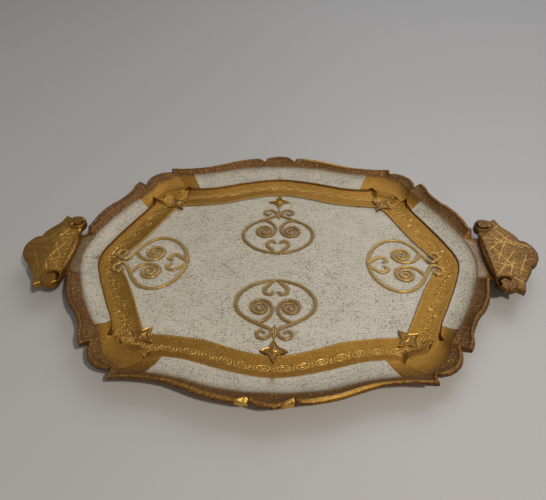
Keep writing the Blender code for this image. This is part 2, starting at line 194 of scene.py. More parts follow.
def dense_curve(points, ghost_start=None, ghost_end=None, steps=24):
    """A smooth curve through points, broken where it turns sharply: its points, and their places."""
    points = np.array(points, float)
    last = len(points) - 1
    sharp = [0 < i < last and turns_sharply(points[i - 1], points[i], points[i + 1]) for i in range(last + 1)]
    curve, places = [points[0]], [0.0]
    for i in range(last):
        a, b = points[i], points[i + 1]
        before = 2 * a - b if sharp[i] else points[i - 1]
        after = 2 * b - a if sharp[i + 1] else points[min(i + 2, last)]
        if i == 0:
            before = 2 * a - b if ghost_start is None else np.array(ghost_start, float)
        if i + 1 == last:
            after = 2 * b - a if ghost_end is None else np.array(ghost_end, float)
        for k in range(1, steps + 1):
            t = k / steps
            curve.append(0.5 * (2 * a + (b - before) * t + (2 * before - 5 * a + 4 * b - after) * t ** 2
                                + (3 * a - before - 3 * b + after) * t ** 3))
            places.append(i + t)
    return np.array(curve), np.array(places)


def spaced(curve, count):
    """count + 1 evenly spaced points along a dense curve."""
    lengths = np.concatenate([[0], np.cumsum(np.linalg.norm(np.diff(curve, axis=0), axis=1))])
    wanted = np.linspace(0, lengths[-1], count + 1)
    return np.stack([np.interp(wanted, lengths, curve[:, k]) for k in range(curve.shape[1])], axis=1)


def quarter_outlines():
    """The four outlines sampled together, with each section's crest and stretch."""
    found = []
    for which in range(2, 6):
        points, ends = [], [0]
        for stretch in STRETCHES:
            points += stretch[which][1 if points else 0:]
            ends.append(len(points) - 1)
        start, end = (-points[1][0], points[1][1]), (points[-2][0], -points[-2][1])
        found.append((*dense_curve(points, start, end), ends))
    outlines, crests, stretches = [], [], []
    crest = FRONT_CREST
    for number, stretch in enumerate(STRETCHES):
        runs = []
        for curve, places, ends in found:
            inside = (places >= ends[number] - 1e-9) & (places <= ends[number + 1] + 1e-9)
            runs.append(curve[inside])
        longest = max(np.linalg.norm(np.diff(run, axis=0), axis=1).sum() for run in runs)
        count = 2 * math.ceil(longest / STEP_MM / 2)
        columns = np.stack([spaced(run, count) for run in runs])
        first = 1 if outlines else 0
        outlines.append(columns[:, first:])
        crests.append(np.linspace(crest, stretch[1], count + 1)[first:])
        stretches += [stretch[0]] * (count + 1 - first)
        crest = stretch[1]
    return np.concatenate(outlines, axis=1), np.concatenate(crests), np.array(stretches)


def new_piece(name, points, faces, attributes=None):
    """An object from points in millimetres, with one number for each point in each attribute."""
    mesh = bpy.data.meshes.new(name)
    mesh.from_pydata([tuple(p) for p in np.asarray(points) * MM], [], faces)
    for label, values in (attributes or {}).items():
        mesh.attributes.new(label, "FLOAT", "POINT").data.foreach_set("value", np.asarray(values, np.float32))
    thing = bpy.data.objects.new(name, mesh)
    bpy.context.scene.collection.objects.link(thing)
    return thing


def finish_piece(thing, slot, *nodes, smooth=35.0):
    """Turns a piece's faces outwards, shades it, and puts it on the frame for its CAD nodes."""
    bpy.ops.object.select_all(action="DESELECT")
    thing.select_set(True)
    bpy.context.view_layer.objects.active = thing
    bpy.ops.object.mode_set(mode="EDIT")
    bpy.ops.mesh.select_all(action="SELECT")
    bpy.ops.mesh.normals_make_consistent(inside=False)
    bpy.ops.object.mode_set(mode="OBJECT")
    bpy.ops.object.shade_smooth_by_angle(angle=math.radians(smooth))
    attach(thing, "root")
    if nodes:
        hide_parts(*nodes)


def ring_faces(rows, columns, closed=True):
    """Quads between rows of points, each row a ring or a strip of columns points."""
    faces = []
    for r in range(rows - 1):
        for c in range(columns if closed else columns - 1):
            d = (c + 1) % columns
            faces.append((r * columns + c, r * columns + d, (r + 1) * columns + d, (r + 1) * columns + c))
    return faces


SPIRAL_TURNS = 2.45
SPIRAL_INNER = 1.4
SPIRAL_GROWTH = 11.8
SPIRAL_RUN_IN = 8.8
SPIRAL_ASIDE = 16


def scroll_paths():
    """The middle lines of one scroll group's ribbons, as (kind, points) with u outwards and w across."""
    arc = ((-40.5, -0.8), (-38.5, 12), (-32, 27), (-20, 38.5), (-7, 42.5), (6, 39), (15.5, 29.5), (24, 15),
           (29, 5.5), (32.5, 3.0), (38, 5), (42, 10), (40.5, 16.5), (35, 18), (32, 14), (34.5, 10.5))
    leaf = ((-40.5, 2.5), (-33, 8), (-27, 12.5), (-20.5, 11), (-18.5, 6), (-22, 3.2))
    part = np.linspace(0, 1, 161)
    angle = math.radians(12) - 2 * math.pi * SPIRAL_TURNS * part
    run_in = SPIRAL_RUN_IN * np.maximum(0, 1 - part * 6.6) ** 2
    radius = SPIRAL_INNER + SPIRAL_GROWTH * (1 - part) + run_in
    spiral = np.stack([radius * np.cos(angle), SPIRAL_ASIDE + radius * np.sin(angle)], axis=1)
    return [("arc", dense_curve(arc)[0]), ("leaf", dense_curve(leaf)[0]), ("spiral", spiral)]


# Each group's name, its distance from the tray's centre, its direction, and whether it has a stem.
SCROLL_GROUPS = (("right", 145.0, 0, False), ("back", 58.0, 90, True), ("left", 145.0, 180, False),
                 ("front", 68.0, 270, True))


def on_tray(path, reach, direction, side):
    """A scroll path laid on the tray, in millimetres."""
    c, s = math.cos(math.radians(direction)), math.sin(math.radians(direction))
    u, w = path[:, 0] + reach, path[:, 1] * side
    return np.stack([c * u - s * w, s * u + c * w], axis=1)


outlines, crests, stretches = quarter_outlines()
inner, step, cove, outer = outlines

ornament_lines = kdtree.KDTree(100000)
count = 0
for _, reach, direction, _ in SCROLL_GROUPS:
    for _, path in scroll_paths():
        for side in (1, -1):
            for point in spaced(on_tray(path, reach, direction, side), 160):
                ornament_lines.insert((*point, 0), count)
                count += 1
ornament_lines.balance()


PANEL_FLECKS = 0.015
COVE_FLECKS = 0.035


def cream_paint(tree, place, across, flecks):
    """Colour and height of rubbed cream paint. Its brush lines run along the x of the across place."""
    tone = put(tree, "TexNoise", {"Vector": place, "Scale": 1000 / 38, "Detail": 3.0})
    creams = {0: tone.outputs[0], 6: linear("#BDB39C"), 7: linear("#CFC8B6")}
    base = put(tree, "Mix", creams, data_type="RGBA")
    patches = put(tree, "TexNoise", {"Vector": place, "Scale": 1000 / 22, "Detail": 2.0})
    specks = put(tree, "TexNoise", {"Vector": place, "Scale": 1000 / 1.3, "Detail": 2.5, "Roughness": 0.6})
    patchy = {0: patches.outputs[0], 1: 0.16, 2: specks.outputs[0]}
    density = put(tree, "Math", patchy, operation="MULTIPLY_ADD")
    speck = put(tree, "MapRange", {0: density.outputs[0], 1: 0.67 - flecks, 2: 0.705 - flecks})
    stretched = put(tree, "VectorMath", {0: across, 1: (70.0, 900.0, 900.0)}, operation="MULTIPLY")
    brushed = put(tree, "TexNoise", {"Vector": stretched.outputs[0], "Scale": 1.0, "Detail": 2.0})
    streak_range = {1: 0.60 - flecks, 2: 0.74 - flecks, 3: 0.0, 4: 0.65}
    streak = put(tree, "MapRange", {0: brushed.outputs[0], **streak_range})
    dark = put(tree, "Math", {0: speck.outputs[0], 1: streak.outputs[0]}, operation="MAXIMUM")
    strength = put(tree, "Math", {0: dark.outputs[0], 1: 0.85}, operation="MULTIPLY")
    flecked = {0: strength.outputs[0], 6: base.outputs[2], 7: linear("#5A4A30")}
    colour = put(tree, "Mix", flecked, data_type="RGBA")
    height = put(tree, "Math", {0: brushed.outputs[0], 1: 0.6, 2: dark.outputs[0]}, operation="MULTIPLY_ADD")
    return colour.outputs[2], height.outputs[0]


def material_of(name):
    made = bpy.data.materials.new(name)
    made.use_nodes = True
    return made, made.node_tree, made.node_tree.nodes["Principled BSDF"]


# Cream casein paint over gesso, rubbed and satin varnished: soft sheen, dark flecks, brown round
# the gilt lines where glaze was wiped.
cream, tree, surface = material_of("rubbed_cream_paint")
coords = put(tree, "TexCoord").outputs["Object"]
paint, relief = cream_paint(tree, coords, coords, PANEL_FLECKS)
grime = put(tree, "Attribute", attribute_name="grime").outputs["Fac"]
mottle = put(tree, "TexNoise", {"Vector": coords, "Scale": 1000 / 5, "Detail": 3.0})
stain = put(tree, "Math", {0: grime, 1: mottle.outputs[0]}, operation="MULTIPLY")
wiped = put(tree, "MapRange", {0: stain.outputs[0], 1: 0.08, 2: 0.45, 3: 0.0, 4: 0.8})
darkened = put(tree, "Mix", {0: wiped.outputs[0], 6: paint, 7: linear("#7A6238")}, data_type="RGBA")
bump = put(tree, "Bump", {"Height": relief, "Strength": 0.35, "Distance": 0.0002})
tree.links.new(darkened.outputs[2], surface.inputs["Base Color"])
tree.links.new(bump.outputs[0], surface.inputs["Normal"])
surface.inputs["Roughness"].default_value = 0.42

# Bare poplar plywood, sawn and left unfinished: long soft grain, no shine.
plywood, tree, surface = material_of("bare_plywood")
coords = put(tree, "TexCoord").outputs["Object"]
grain_place = put(tree, "VectorMath", {0: coords, 1: (26.0, 420.0, 420.0)}, operation="MULTIPLY")
grain = put(tree, "TexNoise", {"Vector": grain_place.outputs[0], "Scale": 1.0, "Detail": 5.0})
tone = put(tree, "MapRange", {0: grain.outputs[0], 1: 0.3, 2: 0.7})
colour = put(tree, "Mix", {0: tone.outputs[0], 6: linear("#A47C4E"), 7: linear("#CBA877")}, data_type="RGBA")
bump = put(tree, "Bump", {"Height": grain.outputs[0], "Strength": 0.4, "Distance": 0.0002})
tree.links.new(colour.outputs[2], surface.inputs["Base Color"])
tree.links.new(bump.outputs[0], surface.inputs["Normal"])
surface.inputs["Roughness"].default_value = 0.72

edge = inner + (step - inner) * PANEL_EDGE
edge = edge[::2]
loop = np.concatenate([edge, (edge * (1, -1))[::-1][1:], (edge * (-1, -1))[1:], (edge * (-1, 1))[::-1][1:-1]])
RINGS = 96
scales = np.linspace(1.0, 0.004, RINGS)
around = len(loop)
top = np.concatenate([np.c_[loop * k, np.full(around, PANEL_TOP)] for k in scales])
bottom = np.concatenate([np.c_[loop * k, np.full(around, PANEL_TOP - PANEL_THICKNESS)] for k in (0.998, 1.0)])
points = np.concatenate([bottom, top])
points[around:2 * around, 2] += 0.4
points[2 * around:3 * around, 2] -= 0.4
faces = ring_faces(RINGS + 2, around)
faces.append(tuple(range(around))[::-1])
faces.append(tuple(range((RINGS + 1) * around, (RINGS + 2) * around)))
to_line = np.array([ornament_lines.find((x, y, 0))[2] for x, y, _ in points])
grime = np.maximum(0.0, 1.0 - (to_line - HALO_START) / HALO_WIDTH)
panel = new_piece("floor_panel_painted", points, faces, {"grime": grime})
panel.data.materials.append(cream)
panel.data.materials.append(plywood)
for polygon in panel.data.polygons:
    polygon.material_index = 1 if polygon.center.z < (PANEL_TOP - 1.0) * MM else 0
finish_piece(panel, "cream_panel", "floor_panel")

# --- Rails -------------------------------------------------------------------------------------
# Eight carved limewood rails, glued end to end and gessoed over. From the panel outwards each has
# a stamped gold band, a carved step, a cream cove and a rolled rim in gold leaf over red bole.

BAND_EDGE_TOP = 8.6
BAND_MIDDLE_TOP = 9.0
BAND_OUTER_TOP = 11.6
STEP_TOP = 14.0
STEP_LEAN = 1.0
COVE_TOP = 21.4
LIP_DEPTH = 7.0
LIP_UNDERCUT = 0.15
FOOT_INNER = 0.35
FOOT_OUTER = 0.3
FOOT_BEVEL_TOP = 5.0
REBATE_TOP = PANEL_TOP + 0.3
JOINT_GAP = 0.03

# The stamped patterns: ovals with a bud in each along the long rails, running vine work along the
# end rails, and a fine line and a row of beads at the band's inner edge.
OVAL_PITCH = 19.0
OVAL_LENGTH = 6.2
OVAL_HEIGHT = 3.5
PATTERN_MIDDLE = 0.56
BUD_LENGTH = 2.4
BUD_HEIGHT = 1.3
LINK_RADIUS = 1.3
LINK_OFFSET = 1.7
VINE_SPREAD = 7.0
STAMP_HEIGHT = 0.6
BEAD_PITCH = 3.2
BEAD_LINE = 1.6
EDGE_LINE = 0.6


def smooth(low, high, value):
    t = np.clip((value - low) / (high - low), 0, 1)
    return t * t * (3 - 2 * t)


def bell(value, width):
    return np.exp(-(value / width) ** 2)


def stamped(s, v, width, vine):
    """Height of the stamped lines at s along the band and v across it, from 0 to 1."""
    off = v - PATTERN_MIDDLE * width
    along = ((s / OVAL_PITCH) % 1 - 0.5) * OVAL_PITCH
    ovals = bell((np.hypot(along / OVAL_LENGTH, off / OVAL_HEIGHT) - 1) * OVAL_HEIGHT, 0.5)
    buds = bell((np.hypot(along / BUD_LENGTH, off / BUD_HEIGHT) - 1) * BUD_HEIGHT, 0.45)
    to_link = OVAL_PITCH / 2 - np.abs(along)
    links = bell(np.hypot(to_link, np.abs(off) - LINK_OFFSET) - LINK_RADIUS, 0.42)
    chain = np.maximum.reduce([ovals, buds, links])
    curls = np.sin(0.9 * s + 1.6 * np.sin(0.8 * off)) + np.sin(1.05 * off + 1.5 * np.sin(0.7 * s))
    vines = bell(curls, 0.30) * bell(off, VINE_SPREAD)
    to_bead = ((s / BEAD_PITCH) % 1 - 0.5) * BEAD_PITCH
    beads = bell(np.hypot(to_bead, v - BEAD_LINE), 0.85)
    edge_line = 0.5 * bell(v - EDGE_LINE, 0.5)
    return np.maximum(chain * (1 - vine) + vines * vine, np.maximum(beads, edge_line))


def gilded_wood(tree, coords, wear_and_shade, lines_and_highlights):
    """Leaf over bole on gesso: colour, metallic, roughness and height."""
    tone = put(tree, "TexNoise", {"Vector": coords, "Scale": 1000 / 30, "Detail": 3.0})
    leaves = {0: tone.outputs[0], 6: linear("#8F6123"), 7: linear("#A87B31")}
    leaf = put(tree, "Mix", leaves, data_type="RGBA")
    rub = put(tree, "TexNoise", {"Vector": coords, "Scale": 1000 / 2.2, "Detail": 5.0, "Roughness": 0.68})
    worn_and_shaded = put(tree, "Math", {0: wear_and_shade, 1: 0.30, 2: rub.outputs[0]}, operation="MULTIPLY_ADD")
    bole = put(tree, "MapRange", {0: worn_and_shaded.outputs[0], 1: 0.60, 2: 0.76, 3: 0.0, 4: 0.85})
    rubbed = {0: bole.outputs[0], 6: leaf.outputs[2], 7: linear("#63300F")}
    shown = put(tree, "Mix", rubbed, data_type="RGBA")
    # Dark umber where the wear-and-shade value is high: dirt and glaze, and painted shade.
    dirt_and_shade = put(tree, "MapRange", {0: wear_and_shade, 1: 0.35, 2: 1.0, 3: 0.0, 4: 0.85})
    dirt_and_shade_mix = {0: dirt_and_shade.outputs[0], 6: shown.outputs[2], 7: linear("#2E1B0C")}
    darkened = put(tree, "Mix", dirt_and_shade_mix, data_type="RGBA")
    grit = put(tree, "TexNoise", {"Vector": coords, "Scale": 1000 / 1.2, "Detail": 3.0, "Roughness": 0.6})
    glint = put(tree, "MapRange", {0: grit.outputs[0], 1: 0.58, 2: 0.66, 3: 0.0, 4: 0.75})
    kept = put(tree, "Math", {0: glint.outputs[0], 1: lines_and_highlights}, operation="MAXIMUM")
    bright = put(tree, "Math", {0: kept.outputs[0], 1: 0.75}, operation="MULTIPLY")
    # Bright gold on specks, on stamped lines and on painted highlights.
    burnished_and_highlit = {0: bright.outputs[0], 6: darkened.outputs[2], 7: linear("#E6BA62")}
    colour = put(tree, "Mix", burnished_and_highlit, data_type="RGBA")
    hidden = put(tree, "Math", {0: bole.outputs[0], 1: dirt_and_shade.outputs[0]}, operation="MAXIMUM")
    covered = put(tree, "Math", {0: hidden.outputs[0], 1: bright.outputs[0]}, operation="SUBTRACT")
    metal = put(tree, "MapRange", {0: covered.outputs[0], 3: 0.92, 4: 0.25})
    satin = put(tree, "MapRange", {0: covered.outputs[0], 3: 0.32, 4: 0.58})
    dull = put(tree, "Math", {0: lines_and_highlights, 1: -0.12, 2: satin.outputs[0]}, operation="MULTIPLY_ADD")
    creases = put(tree, "Math", {0: rub.outputs[0], 1: 1.6, 2: grit.outputs[0]}, operation="MULTIPLY_ADD")
    return colour.outputs[2], metal.outputs[0], dull.outputs[0], creases.outputs[0]


# Water gilding next to rubbed cream paint on one gessoed rail: satin gold, worn to red-brown bole
# on the rim and dark with glaze in the hollows. The two meet at painted borders. The darkening also
# carries painted shade, and the brightening painted highlights, where the rails' points ask for them.
rail_finish, tree, surface = material_of("gilt_and_cream_gesso")
coords = put(tree, "TexCoord").outputs["Object"]
along = put(tree, "UVMap", uv_map="course").outputs[0]
wear_and_shade = put(tree, "Attribute", attribute_name="wear_and_shade").outputs["Fac"]
lines_and_highlights = put(tree, "Attribute", attribute_name="stamp_and_highlight").outputs["Fac"]
leafed = put(tree, "Attribute", attribute_name="leafed").outputs["Fac"]
border = put(tree, "Attribute", attribute_name="border").outputs["Fac"]
gold_colour, gold_metal, gold_rough, gold_height = gilded_wood(tree, coords, wear_and_shade, lines_and_highlights)
paint, paint_height = cream_paint(tree, coords, along, COVE_FLECKS)
wobble = put(tree, "TexNoise", {"Vector": coords, "Scale": 1000 / 6, "Detail": 3.0})
shifted = put(tree, "Math", {0: wobble.outputs[0], 1: -1.6, 2: border}, operation="MULTIPLY_ADD")
inside = put(tree, "MapRange", {0: shifted.outputs[0], 1: -0.6, 2: -1.1})
uneven = put(tree, "Math", {0: wobble.outputs[0], 1: 0.5, 2: leafed}, operation="MULTIPLY_ADD")
gilt_edge = put(tree, "MapRange", {0: uneven.outputs[0], 1: 0.40, 2: 1.15})
gilt = put(tree, "Math", {0: inside.outputs[0], 1: gilt_edge.outputs[0]}, operation="MAXIMUM").outputs[0]
# The cream is soiled brown by the same value: glaze, and painted shade on the cove by the rim.
soiled_and_shaded = put(tree, "Math", {0: wear_and_shade, 1: 0.75}, operation="MULTIPLY")
soiled_and_shaded_paint = put(tree, "Mix", {0: soiled_and_shaded.outputs[0], 6: paint, 7: linear("#54401F")}, data_type="RGBA")
colour = put(tree, "Mix", {0: gilt, 6: soiled_and_shaded_paint.outputs[2], 7: gold_colour}, data_type="RGBA")
metal = put(tree, "Math", {0: gilt, 1: gold_metal}, operation="MULTIPLY")
rough = put(tree, "Mix", {0: gilt, 2: 0.42, 3: gold_rough})
gold_relief = put(tree, "Bump", {"Height": gold_height, "Strength": 0.7, "Distance": 0.0005})
paint_relief = put(tree, "Bump", {"Height": paint_height, "Strength": 0.3, "Distance": 0.0002})
reliefs = {0: gilt, 4: paint_relief.outputs[0], 5: gold_relief.outputs[0]}
normal = put(tree, "Mix", reliefs, data_type="VECTOR")
tree.links.new(colour.outputs[2], surface.inputs["Base Color"])
tree.links.new(metal.outputs[0], surface.inputs["Metallic"])
tree.links.new(rough.outputs[0], surface.inputs["Roughness"])
tree.links.new(normal.outputs[1], surface.inputs["Normal"])

# The frame's underside is limewood, planed and left bare.
limewood = plywood.copy()
limewood.name = "bare_limewood"

outward = outer - inner
outward /= np.linalg.norm(outward, axis=1)[:, None]
middle = inner + (step - inner) * 0.35
course = np.concatenate([[0], np.cumsum(np.linalg.norm(np.diff(middle, axis=0), axis=1))])
band_width = np.linalg.norm(step - inner, axis=1)
cove_top = np.interp(crests, (LEDGE_TOP, CORNER_CREST), (LEDGE_TOP - 0.4, COVE_TOP))
rise = crests - cove_top

# Comma-shaped gouge cuts along the step at the corner: centre, reach along the step, depth.
GOUGES = (((124.0, 141.5), 4.0, 1.5), ((150.5, 122.5), 5.0, 1.6), ((164.8, 110.0), 6.5, 1.6))
gouge = np.zeros(len(step))
for spot, reach, depth in GOUGES:
    gouge = np.maximum(gouge, depth * bell(np.hypot(*(step - spot).T), reach))

# Between the gouges the step runs out into the gilded corner.
lobe_rows = np.flatnonzero(stretches == "corner_lobe")
run_out = np.zeros(len(step))
lobe_part = np.linspace(0, 1, len(lobe_rows))
run_out[lobe_rows] = smooth(0.06, 0.2, lobe_part) * smooth(0.96, 0.84, lobe_part)
step_low = BAND_OUTER_TOP + run_out * (STEP_TOP - BAND_OUTER_TOP - 0.25)

# V cuts into the rim's outer edge at each side of the middle lobe, each with a long flat cheek on
# its left and a steep one on its right, and smudges of old glaze in the cove at the sides' middles.
NOTCH_X = 20.7
NOTCH_LONG = 13.0
NOTCH_STEEP = 2.5
NOTCH_DEPTH = 5.5
NOTCH_INWARDS = 9.0
smudge = np.maximum(bell(step[:, 0], 3.2), bell(step[:, 1], 3.0))
vine = smooth(0.3, 0.7, np.interp(np.arange(len(step)), (lobe_rows[0], lobe_rows[-1]), (0, 1)))
rim_width = np.linalg.norm(outer - cove, axis=1)
BEAD_WIDTH = 5.5
BEAD_DROP = 1.1

# The rim's bead is lighter along the long sweeps, fully at the right end and a little at the left: partly
# rubbed leaf, partly a painted highlight along its crest where the key light from the front right falls.
LEFT_RUB_AND_HIGHLIGHT = 0.2


def evened(values, reach=45):
    """The values averaged over their neighbours along the rail."""
    padded = np.pad(values, reach, mode="reflect")
    return np.convolve(padded, np.ones(2 * reach + 1) / (2 * reach + 1), mode="valid")


cove_width = np.linalg.norm(cove - step, axis=1) - STEP_LEAN
even_width = evened(cove_width)

# Painted borders of the corner cartouche, as two points on each line across the cove.
FRONT_BORDER = ((107.0, 140.0), (115.0, 157.0))
SIDE_BORDER = ((167.0, 94.0), (181.0, 106.0))


def beyond(points, line):
    """How far points lie to the left of a line, in millimetres."""
    (ax, ay), (bx, by) = line
    length = math.hypot(bx - ax, by - ay)
    return ((by - ay) * (ax - points[..., 0]) + (bx - ax) * (points[..., 1] - ay)) / length


def rail_grid(side_x):
    """Points and attributes of a quarter at one end, as rows of sections by columns of profile points.

    The wear-and-shade attribute darkens the gold and soils the paint: wear, dirt and glaze, and painted
    shade at the step's foot, on the cove by the rim, down the bead's outer fall and under the lip. The
    stamp-and-highlight attribute brightens: stamped lines, and painted highlights on the bead and on
    the notches' lit cheeks. leafed is 1 for gold, 0 for paint and below 0 for bare wood.
    """
    columns = []
    right_of_cut = (outer[:, 0] - NOTCH_X) * side_x
    notch = NOTCH_DEPTH * np.interp(right_of_cut, (-NOTCH_LONG, 0, NOTCH_STEEP), (0, 1, 0))[:, None]

    def cut_at(part):
        return np.maximum(0, notch - NOTCH_DEPTH * (1 - part) * rim_width[:, None] / NOTCH_INWARDS)

    def strip(a, b, parts, heights, wear_and_shade=0.0, leafed=0.0, stamp_and_highlight=0.0):
        parts = np.atleast_2d(parts)
        spots = a[:, None] + (b - a)[:, None] * parts[..., None]
        shape = spots.shape[:2]
        values = [np.broadcast_to(np.asarray(v, float), shape) for v in (heights, wear_and_shade, leafed, stamp_and_highlight)]
        columns.append((spots, *values))

    t = np.linspace(0, 1, 50)
    v = t * band_width[:, None]
    pattern = stamped(course[:, None], v, band_width[:, None], vine[:, None])
    carved = np.interp(t, (0, 0.03, 0.5, 1), (0, 0.25, 0.4, 0.4))
    to_step = (1 - t) * band_width[:, None]
    hollow = (step_low[:, None] - BAND_MIDDLE_TOP) * smooth(14.0, -1.6, to_step) ** 1.2
    cut = gouge[:, None] * bell(to_step - 0.9, 0.8)
    shadowed = 0.5 * smooth(0.965, 1.0, t) * (1 - run_out[:, None])
    strip(inner, step, t, BAND_EDGE_TOP + carved + hollow + STAMP_HEIGHT * pattern - cut,
          wear_and_shade=np.clip(0.10 + 0.75 * smooth(0.3, 1.2, cut) + shadowed, 0, 1), leafed=1.0, stamp_and_highlight=pattern)
    step_top = step + outward * STEP_LEAN
    r = np.array((0.25, 0.5, 0.75, 1.0))
    # The step's face darkens towards its foot: painted shade.
    strip(step, step_top, r, step_low[:, None] + (STEP_TOP - step_low[:, None]) * r,
          wear_and_shade=np.array((0.62, 0.5, 0.4, 0.2)) * (1 - 0.8 * run_out[:, None]), leafed=(1, 1, 0.8, 0.2))
    c = np.linspace(0, 1, 30)[1:]
    part_up = np.clip(1 - (1 - c) * (cove_width / even_width)[:, None], 0, 1)
    climb = STEP_TOP + 0.25 * bell(c - 0.05, 0.05) + (cove_top[:, None] - STEP_TOP) * part_up ** 1.7
    # The cove darkens towards the rim: painted shade cast by the rim, and brown glaze.
    darkness = 0.06 + 0.62 * smooth(0.55, 1.0, c) ** 1.5 + 0.12 * bell(c, 0.1)
    strip(step_top, cove, c, climb, wear_and_shade=np.clip(darkness + 0.25 * smudge[:, None] * bell(c - 0.2, 0.3), 0, 1),
          leafed=smooth(0.78, 1.08, c) + 0.7 * smudge[:, None] * bell(c, 0.22))
    proud = np.clip(rise / 5.0, 0, 1)[:, None]
    bead_foot = crests[:, None] - BEAD_DROP * proud
    bead_from = (1 - np.minimum(BEAD_WIDTH, 0.5 * rim_width) / rim_width)[:, None]
    s = np.linspace(0.03, 1.0, 14)
    on_ledge = 1 - smooth(0.5, 3.0, rise)[:, None]
    strip(cove, outer, s * bead_from, cove_top[:, None] + (bead_foot - cove_top[:, None]) * s ** 1.3
          - cut_at(s * bead_from),
          wear_and_shade=0.66 + 0.2 * smooth(0.8, 1.0, s) * proud - 0.1 * on_ledge,
          leafed=1.0 - 0.4 * on_ledge * smooth(0.75, 0.35, s))
    k = np.linspace(0, 1, 19)[1:]
    arch = 1 - np.sqrt(1 - (2 * k - 1) ** 2)
    drop = np.where(k < 0.5, BEAD_DROP * proud, 0.5 * LIP_DEPTH)
    in_sweep = smooth(22, 50, outer[:, 0]) * smooth(118, 70, outer[:, 0]) * smooth(150, 165, outer[:, 1])
    rubbed_and_highlit = (in_sweep * (1.0 if side_x > 0 else LEFT_RUB_AND_HIGHLIGHT))[:, None]
    on_bead = bead_from + (1 - bead_from) * k
    # The long cheek of each notch faces the key light and is painted clean and bright: a painted highlight.
    lit_cheek = smooth(0.3, 1.2, cut_at(on_bead)) * (right_of_cut < 0)[:, None]
    # The bead darkens at its inner foot and down its outer fall, as painted shade, and is lighter along the
    # sweeps.
    strip(cove, outer, on_bead,
          crests[:, None] - drop * arch - cut_at(on_bead),
          wear_and_shade=(0.54 - 0.34 * rubbed_and_highlit + 0.3 * bell(k, 0.16) + 0.3 * smooth(0.7, 1.0, k)) * (1 - 0.8 * lit_cheek),
          leafed=1.0, stamp_and_highlight=np.maximum(0.7 * rubbed_and_highlit * bell(k - 0.4, 0.3), 0.85 * lit_cheek))
    low = crests - LIP_DEPTH - 0.5 * notch[:, 0]
    q = np.linspace(0, 1, 5)[1:]
    edge_top = crests[:, None] - 0.5 * LIP_DEPTH - notch
    lip = outer + (cove - outer) * LIP_UNDERCUT
    # The lip's outer face under the bead is dark: painted shade under the rim's edge.
    strip(outer, lip, q, edge_top + (low[:, None] - edge_top) * q ** 0.8, wear_and_shade=0.8, leafed=1.0)
    foot = step + (cove - step) * FOOT_OUTER
    q = np.linspace(0, 1, 9)[1:]
    strip(lip, foot, q, low[:, None] + (FOOT_BEVEL_TOP - low[:, None]) * q, wear_and_shade=0.9, leafed=-1.0)
    strip(foot, foot, np.zeros(3), (3.3, 1.6, 0.3), wear_and_shade=0.9, leafed=-1.0)
    heel = inner + (step - inner) * FOOT_INNER
    inside = (0.02, 0.5, 0.98)
    strip(foot, heel, inside, 0.0, wear_and_shade=0.9, leafed=-1.0)
    strip(heel, heel, np.zeros(3), (0.3, 3.6, REBATE_TOP), wear_and_shade=0.9, leafed=-1.0)
    strip(heel, inner, (0.5, 0.98), REBATE_TOP, wear_and_shade=0.9, leafed=-1.0)
    return [np.concatenate([column[k] for column in columns], axis=1) for k in range(5)]


grids = {side_x: rail_grid(side_x) for side_x in (-1, 1)}
spots = grids[1][0]
borders = np.maximum(beyond(spots, FRONT_BORDER), -beyond(spots, SIDE_BORDER))
sections, around = borders.shape
across_rail = np.concatenate([np.zeros((sections, 1)),
                              np.cumsum(np.linalg.norm(np.diff(spots, axis=1), axis=2), axis=1)], axis=1)
corner = int(np.flatnonzero(stretches == "corner_lobe").mean())


def squared_off(xy, ends_at, width=34):
    """The run of sections with its last rows eased onto the upright plane of the joint."""
    order = 1 if ends_at == 0 else -1
    xy = xy[::order].copy()
    a, b = xy[0, 0], xy[0, :, :][np.argmax(np.linalg.norm(xy[0] - xy[0, 0], axis=1))]
    along = (b - a) / np.linalg.norm(b - a)
    normal = np.array((-along[1], along[0]))
    if (xy[20, 0] - a) @ normal < 0:
        normal = -normal
    off = (xy[0] - a) @ normal - JOINT_GAP
    for row in range(width):
        ease = 1 - row / width
        xy[row] -= (off * ease)[:, None] * normal
    return xy[::order]


hammer = bpy.data.textures.new("hammered", "CLOUDS")
hammer.noise_scale = 2.6 * MM
hammer.noise_depth = 2
HAMMERED_ABOVE = 15
BAND_HAMMERING = 0.06

